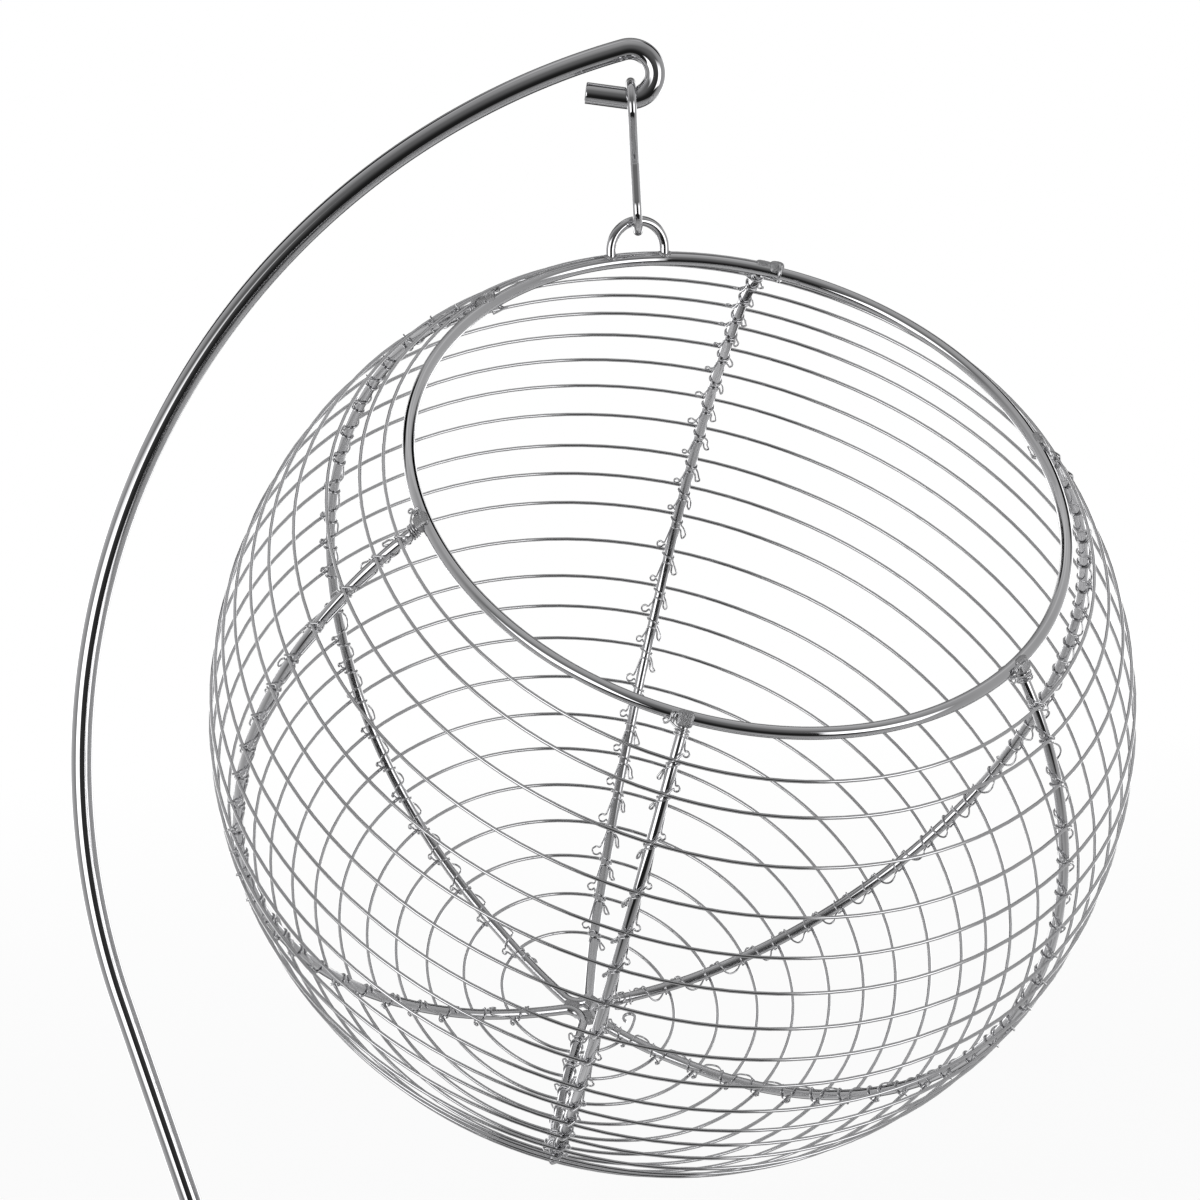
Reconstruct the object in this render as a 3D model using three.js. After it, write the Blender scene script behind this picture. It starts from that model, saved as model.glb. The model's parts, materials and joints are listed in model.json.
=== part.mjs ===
// Hanging fruit basket: a globe of chromed wire with an open mouth, hung by an S-hook from a rod stand.
// Millimetres, +Z up. The origin is on the table, in the middle of the whole part's footprint.
// The stand lies in the XZ plane. The mouth of the globe faces -Y, up, and a little to +X.
import * as THREE from "three";

// Rod of the stand
const ROD_DIAMETER = 7;
const BASE_RING_RADIUS = 150;
const GLOBE_OVER_TABLE = 50;
const GLOBE_TO_ROD = 36;
const WIDEST_BELOW_GLOBE_MIDDLE = 21;
const HOOK_BEND_RADIUS = 8;
const HOOK_ARM_LENGTH = 13.5;
const HOOK_ARM_RISE_DEG = 10.5;

// S-hook
const S_HOOK_WIRE = 3;
const S_HOOK_LENGTH = 51;
const S_HOOK_ROOM = 2;
const S_HOOK_LEG = 13;

// Globe: its radius is that of the middle of the rib wire
const GLOBE_RADIUS = 147;
const MOUTH_RADIUS = 105;
const MOUTH_HEADING_DEG = 20.7;
const RIM_WIRE = 4;
const RIB_WIRE = 3.5;
const RIB_AZIMUTHS_DEG = [-23, 32, 92, 152, 217, 275];
const RIB_BEND_RADIUS = 5;
// Where the two ribs of a hairpin leave their meridians for the bend, measured from the hub
const RIB_LEG_FROM_HUB = 40;

// Hanging eye on the rim, at azimuth 0
const EYE_WIRE = 3.2;
const EYE_WIDTH = 18.6;
const EYE_HEIGHT = 13.2;
const EYE_LEAN_DEG = 34;

// One wire wound round the ribs, from the rim to the hub
const WINDING_WIRE = 1.2;
const WINDING_TURNS = 24;
const WINDING_BELOW_RIM = 7;
const WINDING_END_RADIUS = 9;

// Thin wire that lashes the winding to each rib
const BINDING_WIRE = 0.7;

// Free space between two wires that touch or are welded on the real basket
const SEAT_GAP = 0.3;

// Steps along the wires, and sides of their sections
const BEND_STEP = Math.PI / 12;
const ARC_STEP = Math.PI / 36;
const RING_STEPS = 48;
const RIB_STEP = Math.PI / 24;
const STEPS_BETWEEN_RIBS = 4;
const BASE_SIDES = 12;
const ROD_SIDES = 10;
const WIRE_SIDES = 6;
const WINDING_SIDES = 6;
const EYE_SIDES = 8;
const BINDING_SIDES = 3;

const chromeRod = new THREE.MeshStandardMaterial({ color: 0xc9cbcd, roughness: 0.06, metalness: 1 });
const chromeWire = new THREE.MeshStandardMaterial({ color: 0xbfc1c3, roughness: 0.1, metalness: 1 });
const bindingWire = new THREE.MeshStandardMaterial({ color: 0xb4b6b8, roughness: 0.16, metalness: 1 });

const vec = (x, y, z) => new THREE.Vector3(x, y, z);
const UP = vec(0, 0, 1);
const SIDEWAYS = vec(0, 1, 0);
const ALONG_ARM = vec(1, 0, 0);

// A wire of round section swept along points. sectionAxis gives, for each point, the direction in which
// the section's first corner lies; spin turns the section from there.
function wireGeometry(points, sectionAxis, diameter, sides, closed = false, spin = 0) {
  const count = points.length;
  const positions = [];
  const corners = [];
  for (let i = 0; i < count; i++) {
    const before = points[closed ? (i + count - 1) % count : Math.max(i - 1, 0)];
    const after = points[closed ? (i + 1) % count : Math.min(i + 1, count - 1)];
    const tangent = after.clone().sub(before).normalize();
    const first = sectionAxis(points[i]).clone();
    first.addScaledVector(tangent, -first.dot(tangent)).normalize();
    const second = tangent.clone().cross(first);
    for (let j = 0; j < sides; j++) {
      const angle = spin + (2 * Math.PI * j) / sides;
      const corner = points[i].clone();
      corner.addScaledVector(first, (diameter / 2) * Math.cos(angle));
      corner.addScaledVector(second, (diameter / 2) * Math.sin(angle));
      positions.push(corner.x, corner.y, corner.z);
    }
  }
  const spans = closed ? count : count - 1;
  for (let i = 0; i < spans; i++) {
    for (let j = 0; j < sides; j++) {
      const here = i * sides + j;
      const beside = i * sides + ((j + 1) % sides);
      const ahead = ((i + 1) % count) * sides + j;
      const across = ((i + 1) % count) * sides + ((j + 1) % sides);
      corners.push(here, beside, across, here, across, ahead);
    }
  }
  if (!closed) {
    const last = (count - 1) * sides;
    for (let j = 1; j < sides - 1; j++) {
      corners.push(0, j + 1, j, last, last + j, last + j + 1);
    }
  }
  const geometry = new THREE.BufferGeometry();
  geometry.setAttribute("position", new THREE.Float32BufferAttribute(positions, 3));
  geometry.setIndex(corners);
  geometry.computeVertexNormals();
  return geometry;
}

function piece(name, geometry, material) {
  const mesh = new THREE.Mesh(geometry, material);
  mesh.name = name;
  return mesh;
}

// Points of an arc in a plane: angles in radians, toPoint turns the two plane coordinates into a point.
function arcPoints(centreU, centreV, radius, from, to, step, toPoint) {
  const steps = Math.max(2, Math.ceil(Math.abs(to - from) / step));
  const points = [];
  for (let i = 0; i <= steps; i++) {
    const angle = from + ((to - from) * i) / steps;
    points.push(toPoint(centreU + radius * Math.cos(angle), centreV + radius * Math.sin(angle)));
  }
  return points;
}

// Globe, built about its own middle: +Z is the way out through the mouth and azimuth 0, at +X, is the eye's
const rimAngle = Math.asin(MOUTH_RADIUS / GLOBE_RADIUS);
const rimHeight = GLOBE_RADIUS * Math.cos(rimAngle);
const ribAzimuths = RIB_AZIMUTHS_DEG.map((degrees) => THREE.MathUtils.degToRad(degrees));
const windingRadius = GLOBE_RADIUS + RIB_WIRE / 2 + SEAT_GAP + WINDING_WIRE / 2;
const globeOuterRadius = windingRadius + WINDING_WIRE / 2;

// A point at a polar angle from the mouth's axis and an azimuth round it
function onGlobe(radius, polar, azimuth) {
  const ring = radius * Math.sin(polar);
  return vec(ring * Math.cos(azimuth), ring * Math.sin(azimuth), radius * Math.cos(polar));
}

const fromGlobeMiddle = (point) => point;

function rimRing() {
  const points = [];
  for (let i = 0; i < RING_STEPS; i++) {
    points.push(onGlobe(GLOBE_RADIUS, rimAngle, (2 * Math.PI * i) / RING_STEPS));
  }
  return piece("rim_ring", wireGeometry(points, () => UP, RIM_WIRE, WIRE_SIDES, true), chromeWire);
}

// Distance from the hub at which the three bends just clear each other
function hubBendCentre() {
  const bisectors = [0, 2, 4].map((i) => (ribAzimuths[i] + ribAzimuths[i + 1]) / 2);
  const turns = bisectors.map((angle, i) => {
    const next = i < 2 ? bisectors[i + 1] : bisectors[0] + 2 * Math.PI;
    return next - angle;
  });
  const bendSpacing = 2 * RIB_BEND_RADIUS + RIB_WIRE + SEAT_GAP;
  return bendSpacing / (2 * Math.sin(Math.min(...turns) / 2));
}

// One wire makes two ribs: down one meridian, round a tight bend beside the hub, and up the next meridian
function ribHairpin(number) {
  const first = ribAzimuths[2 * number];
  const second = ribAzimuths[2 * number + 1];
  const bisector = (first + second) / 2;
  const halfAngle = (second - first) / 2;
  const bendCentre = hubBendCentre();
  // On the globe's skin round the hub: along runs from the hub down the bisector, across runs beside it
  const besideHub = (along, across) => {
    const reach = Math.hypot(along, across);
    const azimuth = bisector + Math.atan2(across, along);
    return onGlobe(GLOBE_RADIUS, Math.PI - reach / GLOBE_RADIUS, azimuth);
  };
  const legAlong = RIB_LEG_FROM_HUB * Math.cos(halfAngle);
  const legAcross = RIB_LEG_FROM_HUB * Math.sin(halfAngle);
  const toLeg = Math.atan2(legAcross, legAlong - bendCentre);
  const legDistance = Math.hypot(legAcross, legAlong - bendCentre);
  const tangentAngle = toLeg + Math.acos(RIB_BEND_RADIUS / legDistance);
  const rimEnd = rimAngle + (RIM_WIRE / 2 + SEAT_GAP) / GLOBE_RADIUS;
  const legEnd = Math.PI - RIB_LEG_FROM_HUB / GLOBE_RADIUS;
  const legSteps = Math.ceil((legEnd - rimEnd) / RIB_STEP);
  const legPoints = (azimuth) => {
    const points = [];
    for (let i = 0; i <= legSteps; i++) {
      const polar = rimEnd + ((legEnd - rimEnd) * i) / legSteps;
      points.push(onGlobe(GLOBE_RADIUS, polar, azimuth));
    }
    return points;
  };
  const bend = arcPoints(
    bendCentre, 0, RIB_BEND_RADIUS, -tangentAngle, tangentAngle - 2 * Math.PI, BEND_STEP, besideHub,
  );
  const halfway = (side) => {
    const along = (legAlong + bendCentre + RIB_BEND_RADIUS * Math.cos(tangentAngle)) / 2;
    const across = (legAcross + RIB_BEND_RADIUS * Math.sin(tangentAngle)) / 2;
    return besideHub(along, side * across);
  };
  const points = [...legPoints(first), halfway(-1), ...bend, halfway(1), ...legPoints(second).reverse()];
  const geometry = wireGeometry(points, fromGlobeMiddle, RIB_WIRE, WIRE_SIDES);
  return piece(`rib_hairpin_${number + 1}`, geometry, chromeWire);
}

// Polar angle of the winding after a number of turns from the first rib
function windingPolar(turns) {
  const start = rimAngle + WINDING_BELOW_RIM / GLOBE_RADIUS;
  const end = Math.PI - WINDING_END_RADIUS / GLOBE_RADIUS;
  return start + ((end - start) * turns) / WINDING_TURNS;
}

const fullTurn = 2 * Math.PI;

// The winding turns straight over each rib, so its steps are counted from rib to rib
function windingPoints() {
  const ribs = ribAzimuths.length;
  const points = [];
  const steps = WINDING_TURNS * ribs * STEPS_BETWEEN_RIBS;
  for (let i = 0; i <= steps; i++) {
    const passed = Math.floor(i / STEPS_BETWEEN_RIBS);
    const share = (i % STEPS_BETWEEN_RIBS) / STEPS_BETWEEN_RIBS;
    const here = ribAzimuths[passed % ribs] + fullTurn * Math.floor(passed / ribs);
    const next = ribAzimuths[(passed + 1) % ribs] + fullTurn * Math.floor((passed + 1) / ribs);
    const azimuth = here + (next - here) * share;
    const turns = (azimuth - ribAzimuths[0]) / fullTurn;
    points.push(onGlobe(windingRadius, windingPolar(turns), azimuth));
  }
  return points;
}

// Least free space between stretches of a wire that are at least half a turn apart
function leastGap(points, apart, diameter) {
  let least = Infinity;
  for (let i = 0; i < points.length; i++) {
    for (let j = i + apart; j < points.length; j++) {
      least = Math.min(least, points[i].distanceTo(points[j]));
    }
  }
  return least - diameter;
}

function windingWire() {
  const points = windingPoints();
  const halfTurn = (ribAzimuths.length * STEPS_BETWEEN_RIBS) / 2;
  const gap = leastGap(points, halfTurn, WINDING_WIRE);
  console.log(`winding_wire: least gap between its turns ${gap.toFixed(2)} mm`);
  const geometry = wireGeometry(points, fromGlobeMiddle, WINDING_WIRE, WINDING_SIDES);
  return piece("winding_wire", geometry, chromeWire);
}

// Runs down the outside of a rib: over each turn of the winding, and down to the rib between the turns
function bindingLashing(number) {
  const azimuth = ribAzimuths[number];
  const onRib = GLOBE_RADIUS + RIB_WIRE / 2 + SEAT_GAP + BINDING_WIRE / 2;
  const overTurn = windingRadius + WINDING_WIRE / 2 + SEAT_GAP + BINDING_WIRE / 2;
  const firstTurn = (azimuth - ribAzimuths[0]) / fullTurn;
  const points = [onGlobe(overTurn, windingPolar(firstTurn), azimuth)];
  for (let turn = 1; turn < WINDING_TURNS; turn++) {
    points.push(onGlobe(onRib, windingPolar(firstTurn + turn - 0.5), azimuth));
    points.push(onGlobe(overTurn, windingPolar(firstTurn + turn), azimuth));
  }
  const geometry = wireGeometry(points, fromGlobeMiddle, BINDING_WIRE, BINDING_SIDES);
  return piece(`binding_wire_${number + 1}`, geometry, bindingWire);
}

// Upside-down U, welded on the rim by its two feet and leaning outwards
const eyeLean = THREE.MathUtils.degToRad(EYE_LEAN_DEG);
const eyeUp = vec(Math.sin(eyeLean), 0, Math.cos(eyeLean));
const eyeFoot = vec(Math.sqrt(MOUTH_RADIUS ** 2 - (EYE_WIDTH / 2) ** 2), 0, rimHeight);
const eyeTop = eyeFoot.clone().addScaledVector(eyeUp, EYE_HEIGHT);

function hangingEye() {
  const halfWidth = EYE_WIDTH / 2;
  const inEye = (across, up) => {
    return eyeFoot.clone().addScaledVector(eyeUp, up).addScaledVector(SIDEWAYS, across);
  };
  const footUp = RIM_WIRE / 2 + SEAT_GAP;
  const points = [
    inEye(halfWidth, footUp),
    ...arcPoints(0, EYE_HEIGHT - halfWidth, halfWidth, 0, Math.PI, BEND_STEP, inEye),
    inEye(-halfWidth, footUp),
  ];
  const acrossEye = eyeUp.clone().cross(SIDEWAYS);
  return piece("hanging_eye", wireGeometry(points, () => acrossEye, EYE_WIRE, EYE_SIDES), chromeWire);
}

// Volume of a closed geometry and its first moments, from the tetrahedra that its faces make with the origin
function addMoments(geometry, sum) {
  const position = geometry.getAttribute("position");
  const index = geometry.getIndex();
  for (let i = 0; i < index.count; i += 3) {
    const [a, b, c] = [0, 1, 2].map((k) => vec().fromBufferAttribute(position, index.getX(i + k)));
    const volume = a.dot(b.clone().cross(c)) / 6;
    sum.volume += volume;
    sum.moment.addScaledVector(a.add(b).add(c), volume / 4);
  }
}

const globe = new THREE.Group();
globe.add(rimRing(), hangingEye(), windingWire());
for (let i = 0; i < ribAzimuths.length / 2; i++) {
  globe.add(ribHairpin(i));
}
for (let i = 0; i < ribAzimuths.length; i++) {
  globe.add(bindingLashing(i));
}

// All of the globe is steel, so its centre of mass is that of its volume. It hangs straight under the eye,
// and that sets how far the mouth tips forward.
const sum = { volume: 0, moment: vec(0, 0, 0) };
for (const mesh of globe.children) {
  addMoments(mesh.geometry, sum);
}
const centreOfMass = sum.moment.divideScalar(sum.volume);
const plumbLine = eyeTop.clone().sub(centreOfMass).normalize();
globe.quaternion.setFromUnitVectors(plumbLine, UP);
const heading = new THREE.Quaternion();
heading.setFromAxisAngle(UP, Math.PI / 2 + THREE.MathUtils.degToRad(MOUTH_HEADING_DEG));
globe.quaternion.premultiply(heading);
const eyeTopFromMiddle = eyeTop.clone().applyQuaternion(globe.quaternion);
const globeMiddleHeight = GLOBE_OVER_TABLE + globeOuterRadius;
globe.position.set(-eyeTopFromMiddle.x, -eyeTopFromMiddle.y, globeMiddleHeight);

// S-hook: two bends of one radius and a slanting shank between them, in the YZ plane through the plumb line
const sBendRadius = ROD_DIAMETER / 2 + S_HOOK_ROOM + S_HOOK_WIRE / 2;
const sLowest = globeMiddleHeight + eyeTopFromMiddle.z - EYE_WIRE / 2 - SEAT_GAP - S_HOOK_WIRE / 2;
const sLowerCentre = sLowest + sBendRadius;
const sUpperCentre = sLowest + S_HOOK_LENGTH - S_HOOK_WIRE - sBendRadius;
const inHookPlane = (back, up) => vec(0, back, up);

function sHook() {
  const shankLean = Math.asin((2 * sBendRadius) / (sUpperCentre - sLowerCentre));
  const points = [
    inHookPlane(sBendRadius, sUpperCentre - S_HOOK_LEG),
    ...arcPoints(0, sUpperCentre, sBendRadius, 0, Math.PI + shankLean, BEND_STEP, inHookPlane),
    ...arcPoints(0, sLowerCentre, sBendRadius, shankLean, -Math.PI, BEND_STEP, inHookPlane),
    inHookPlane(-sBendRadius, sLowerCentre + S_HOOK_LEG),
  ];
  return piece("s_hook", wireGeometry(points, () => ALONG_ARM, S_HOOK_WIRE, EYE_SIDES), chromeWire);
}

// Stand rod: up from the base ring, round a wide arc beside the globe, and back under itself as a hook.
// The arc touches the hook's bend and passes the globe at the widest point at a set distance.
const armMiddle = sUpperCentre + sBendRadius - S_HOOK_WIRE / 2 - SEAT_GAP - ROD_DIAMETER / 2;
const hookCentreHeight = armMiddle + HOOK_BEND_RADIUS;
const widest = globeOuterRadius + GLOBE_TO_ROD + ROD_DIAMETER / 2;
const arcMiddleHeight = globeMiddleHeight - WIDEST_BELOW_GLOBE_MIDDLE;
const arcRise = hookCentreHeight - arcMiddleHeight;
const arcRadius = (widest ** 2 + arcRise ** 2 - HOOK_BEND_RADIUS ** 2) / (2 * (widest - HOOK_BEND_RADIUS));
const arcMiddleAcross = arcRadius - widest;
const baseRodHeight = (ROD_DIAMETER / 2) * Math.cos(Math.PI / BASE_SIDES);
const inStandPlane = (across, up) => vec(across, 0, up);

function standRod() {
  // The foot is straight, from the left of the base ring to where it touches the arc
  const toRingAcross = -BASE_RING_RADIUS - arcMiddleAcross;
  const toRingUp = baseRodHeight - arcMiddleHeight;
  const toRing = Math.atan2(toRingUp, toRingAcross) + 2 * Math.PI;
  const footTouch = toRing - Math.acos(arcRadius / Math.hypot(toRingAcross, toRingUp));
  const hookTouch = Math.atan2(arcRise, -arcMiddleAcross);
  const touchAcross = arcMiddleAcross + arcRadius * Math.cos(footTouch);
  const touchUp = arcMiddleHeight + arcRadius * Math.sin(footTouch);
  const footLength = Math.hypot(touchAcross + BASE_RING_RADIUS, touchUp - baseRodHeight);
  const footRunAcross = (touchAcross + BASE_RING_RADIUS) / footLength;
  const footRunUp = (touchUp - baseRodHeight) / footLength;
  // The foot points at the middle of the ring's rod and ends just over it
  const seat = ROD_DIAMETER / 2 + SEAT_GAP;
  const armFrom = -Math.PI / 2 - THREE.MathUtils.degToRad(HOOK_ARM_RISE_DEG);
  const armAcross = HOOK_BEND_RADIUS * Math.cos(armFrom) + HOOK_ARM_LENGTH * Math.sin(armFrom);
  const armUp = HOOK_BEND_RADIUS * Math.sin(armFrom) - HOOK_ARM_LENGTH * Math.cos(armFrom);
  const points = [
    inStandPlane(-BASE_RING_RADIUS + footRunAcross * seat, baseRodHeight + footRunUp * seat),
    ...arcPoints(arcMiddleAcross, arcMiddleHeight, arcRadius, footTouch, hookTouch, ARC_STEP, inStandPlane),
    ...arcPoints(0, hookCentreHeight, HOOK_BEND_RADIUS, hookTouch, armFrom, BEND_STEP, inStandPlane).slice(1),
    inStandPlane(armAcross, hookCentreHeight + armUp),
  ];
  return piece("stand_rod", wireGeometry(points, () => SIDEWAYS, ROD_DIAMETER, ROD_SIDES), chromeRod);
}

// The base ring rests on one flat side of its section
function baseRing() {
  const points = [];
  for (let i = 0; i < RING_STEPS; i++) {
    const angle = (2 * Math.PI * i) / RING_STEPS;
    points.push(vec(BASE_RING_RADIUS * Math.cos(angle), BASE_RING_RADIUS * Math.sin(angle), baseRodHeight));
  }
  const flatDown = Math.PI / BASE_SIDES;
  const geometry = wireGeometry(points, () => UP, ROD_DIAMETER, BASE_SIDES, true, flatDown);
  return piece("base_ring", geometry, chromeRod);
}

// Everything so far is measured from the middle of the base ring, which lies straight under the hook
const basket = new THREE.Group();
basket.add(standRod(), baseRing(), sHook(), globe);
const footprintMiddle = new THREE.Box3().setFromObject(basket, true).getCenter(vec()).setZ(0);
for (const child of basket.children) {
  child.position.sub(footprintMiddle);
}

export default basket;
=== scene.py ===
import json
import math
import random

import bmesh
import bpy
import numpy as np
from mathutils import Matrix, Vector


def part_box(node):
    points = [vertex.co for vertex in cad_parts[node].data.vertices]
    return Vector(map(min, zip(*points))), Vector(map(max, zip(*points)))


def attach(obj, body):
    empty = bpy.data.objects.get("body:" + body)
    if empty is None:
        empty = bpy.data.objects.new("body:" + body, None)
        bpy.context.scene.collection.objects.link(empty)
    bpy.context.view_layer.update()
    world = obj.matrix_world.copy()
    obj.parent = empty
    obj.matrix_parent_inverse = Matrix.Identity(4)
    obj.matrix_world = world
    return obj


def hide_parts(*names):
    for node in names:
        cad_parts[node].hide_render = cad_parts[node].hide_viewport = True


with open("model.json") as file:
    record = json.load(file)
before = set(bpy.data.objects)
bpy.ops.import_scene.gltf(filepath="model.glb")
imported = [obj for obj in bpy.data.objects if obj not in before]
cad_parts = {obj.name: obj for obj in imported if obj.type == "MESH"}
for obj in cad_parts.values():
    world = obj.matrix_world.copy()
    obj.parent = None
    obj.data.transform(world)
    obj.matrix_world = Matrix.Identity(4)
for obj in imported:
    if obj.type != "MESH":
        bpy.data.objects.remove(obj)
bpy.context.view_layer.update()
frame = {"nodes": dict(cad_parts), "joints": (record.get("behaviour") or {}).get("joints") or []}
scene = bpy.context.scene

# Camera: 1.94 m in front of the globe, a little above it and slightly rolled, with a long lens, so that the
# base of the stand lies below the picture. It is placed from the globe's middle, which lies behind the plane
# of the rim ring. That plane also gives the way out through the mouth.
GLOBE_RADIUS = 0.147
MOUTH_RADIUS = 0.105
CAMERA_FROM_GLOBE = Vector((-0.0215, -1.9315, 0.2172))
CAMERA_DOWN_DEG = 5.3
CAMERA_ROLL_DEG = -2.9
CAMERA_LENS_MM = 180.06
CAMERA_SENSOR_MM = 36
CAMERA_SEES_FROM = 0.05
rim_points = np.array([vertex.co for vertex in frame["nodes"]["rim_ring"].data.vertices])
rim_middle = Vector(rim_points.mean(0))
mouth_axis = Vector(np.linalg.svd(rim_points - rim_points.mean(0), full_matrices=False)[2][2])
if mouth_axis.z < 0:
    mouth_axis.negate()
globe_middle = rim_middle - mouth_axis * math.sqrt(GLOBE_RADIUS ** 2 - MOUTH_RADIUS ** 2)
camera_data = bpy.data.cameras.new("camera")
camera_data.lens = CAMERA_LENS_MM
camera_data.sensor_width = CAMERA_SENSOR_MM
camera_data.clip_start = CAMERA_SEES_FROM
camera = bpy.data.objects.new("camera", camera_data)
scene.collection.objects.link(camera)
camera_turn = Matrix.Rotation(math.radians(90 - CAMERA_DOWN_DEG), 4, "X")
camera_turn = camera_turn @ Matrix.Rotation(math.radians(CAMERA_ROLL_DEG), 4, "Z")
camera.matrix_world = Matrix.Translation(globe_middle + CAMERA_FROM_GLOBE) @ camera_turn
scene.camera = camera
scene.view_settings.view_transform = "Standard"


# White room: the world is white wherever the camera sees it, and a plain soft light elsewhere. The floor is
# as white as the room behind it, and still keeps the basket's soft shadow.
ROOM_LIGHT = 0.72
FLOOR_HALF_WIDTH = 40
FLOOR_COLOUR = (0.94, 0.94, 0.945, 1)
# Share of plain white in the floor as far as the shadow reaches, and the distance from which it is all white
WHITE_SHARE_NEAR = 0.84
SHADOW_REACH = 0.5
WHITE_FROM = 1.6


def link(tree, *sockets):
    """Links each output to the input given after it."""
    for start, end in zip(sockets[::2], sockets[1::2]):
        tree.links.new(start, end)


def maths(tree, operation, *values):
    node = tree.nodes.new("ShaderNodeMath")
    node.operation = operation
    for i, value in enumerate(values):
        if isinstance(value, (int, float)):
            node.inputs[i].default_value = value
        else:
            link(tree, value, node.inputs[i])
    return node.outputs[0]


def map_range(tree, value, from_low, from_high, to_low, to_high):
    span = tree.nodes.new("ShaderNodeMapRange")
    span.inputs["From Min"].default_value = from_low
    span.inputs["From Max"].default_value = from_high
    span.inputs["To Min"].default_value = to_low
    span.inputs["To Max"].default_value = to_high
    link(tree, value, span.inputs["Value"])
    return span.outputs["Result"]


def sight_rays(tree):
    """1 on rays from the camera, or from a mirror or glass, and 0 on rays that only carry light."""
    path = tree.nodes.new("ShaderNodeLightPath")
    seen = maths(tree, "MAXIMUM", path.outputs["Is Camera Ray"], path.outputs["Is Glossy Ray"])
    return maths(tree, "MAXIMUM", seen, path.outputs["Is Transmission Ray"])


world = bpy.data.worlds.new("white_room")
world.use_nodes = True
scene.world = world
tree = world.node_tree
background = tree.nodes["Background"]
background.inputs["Color"].default_value = (1, 1, 1, 1)
link(tree, map_range(tree, sight_rays(tree), 0, 1, ROOM_LIGHT, 1), background.inputs["Strength"])

floor_mesh = bpy.data.meshes.new("floor")
corners = [(x * FLOOR_HALF_WIDTH, y * FLOOR_HALF_WIDTH, 0) for x, y in ((-1, -1), (1, -1), (1, 1), (-1, 1))]
floor_mesh.from_pydata(corners, [], [(0, 1, 2, 3)])
floor = bpy.data.objects.new("floor", floor_mesh)
scene.collection.objects.link(floor)
floor_paint = bpy.data.materials.new("floor_paint")
floor_paint.use_nodes = True
tree = floor_paint.node_tree
tree.nodes.remove(tree.nodes["Principled BSDF"])
matte = tree.nodes.new("ShaderNodeBsdfDiffuse")
matte.inputs["Color"].default_value = FLOOR_COLOUR
own_white = tree.nodes.new("ShaderNodeEmission")
mixed = tree.nodes.new("ShaderNodeMixShader")
distance = tree.nodes.new("ShaderNodeVectorMath")
distance.operation = "LENGTH"
link(tree, tree.nodes.new("ShaderNodeTexCoord").outputs["Object"], distance.inputs[0])
share = map_range(tree, distance.outputs["Value"], SHADOW_REACH, WHITE_FROM, WHITE_SHARE_NEAR, 1)
link(tree, maths(tree, "MULTIPLY", sight_rays(tree), share), mixed.inputs["Fac"],
     matte.outputs[0], mixed.inputs[1], own_white.outputs[0], mixed.inputs[2],
     mixed.outputs[0], tree.nodes["Material Output"].inputs["Surface"])
floor_mesh.materials.append(floor_paint)
floor.visible_glossy = False


# Two soft lamps, left and right of the camera, that give the basket its soft shadow on the floor. Polished
# metal doesn't see them. Each has its name, its place and its power.
LAMP_WIDTH = 1.2
LAMPS = (("key_lamp", (-1.3, -1.0, 1.5), 7), ("fill_lamp", (1.5, -0.8, 1.2), 4))
for name, place, watts in LAMPS:
    lamp_data = bpy.data.lights.new(name, "AREA")
    lamp_data.size = LAMP_WIDTH
    lamp_data.energy = watts
    lamp = bpy.data.objects.new(name, lamp_data)
    lamp.location = place
    lamp.rotation_euler = (globe_middle - Vector(place)).to_track_quat("-Z", "Y").to_euler()
    lamp.visible_glossy = False
    scene.collection.objects.link(lamp)


# Studio tent, a wide ball round the basket that only polished metal sees. Bright strips stand left and right
# of the camera and behind the basket, it is dark between and below them, and grey cloth hangs at the sides.
# It gives chrome its bands. Black flags high up behind the basket give the wires thin dark edges.
TENT_RADIUS = 6
TENT_SEGMENTS = 128
TENT_RINGS = 64
STRIP_LIGHT = 2.4
FULL_TURN = (-180, 180)
FULL_HEIGHT = (-90, 90)
# Degrees round from the camera's side, to the right, or degrees of height, with the share of a strip's light
STRIPS_AROUND = (
    (-180, 0), (-167, 0), (-163, 1), (-143, 1), (-139, 0), (-61, 0), (-57, 1), (-21, 1), (-17, 0),
    (34, 0), (38, 1), (65, 1), (69, 0), (139, 0), (143, 1), (163, 1), (167, 0),
)
STRIPS_UP = ((-23, 0), (-19, 1), (6, 1), (20, 0))
# Brightness of the cloth: by height in front and behind, by the way round at the sides, and where these are
FRONT_UP = (
    (-90, 0.55), (-70, 0.52), (-57, 0.36), (-47, 0.22), (-41, 0.015), (-16, 0.02), (-4, 0.05), (6, 0.1),
    (16, 0.15), (35, 0.2), (48, 0.34), (60, 0.44), (75, 0.52), (90, 0.52),
)
CLOTH_AROUND = (
    (-180, 0.5), (-130, 0.75), (-100, 0.55), (-75, 0.42), (75, 0.45), (105, 0.5), (135, 0.7), (180, 0.5),
)
SIDES_AROUND = ((-180, 0), (-162, 0), (-138, 1), (-74, 1), (-48, 0), (48, 0), (74, 1), (138, 1), (162, 0))
# The flags, with the share from which they are solid black
FLAGS_AROUND = (
    (-180, 0), (-150, 0), (-141, 1), (-123, 1), (-112, 0), (112, 0), (123, 1), (141, 1), (150, 0),
)
FLAGS_UP = ((18, 0), (26, 1), (52, 1), (62, 0))
FLAG_SOLID_FROM = 0.75


def stops_along(tree, value, stops, span, full=1.0):
    """The value that stops of (degrees, value) give over the span, as a share of the full value."""
    low, high = span
    node = tree.nodes.new("ShaderNodeValToRGB")
    ramp = node.color_ramp
    ramp.elements.remove(ramp.elements[1])
    for i, (degrees, size) in enumerate(stops):
        position = (degrees - low) / (high - low)
        stop = ramp.elements[0] if i == 0 else ramp.elements.new(position)
        stop.position = position
        stop.color = (size / full, size / full, size / full, 1)
    link(tree, map_range(tree, value, low, high, 0, 1), node.inputs["Fac"])
    return node.outputs["Color"]


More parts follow.
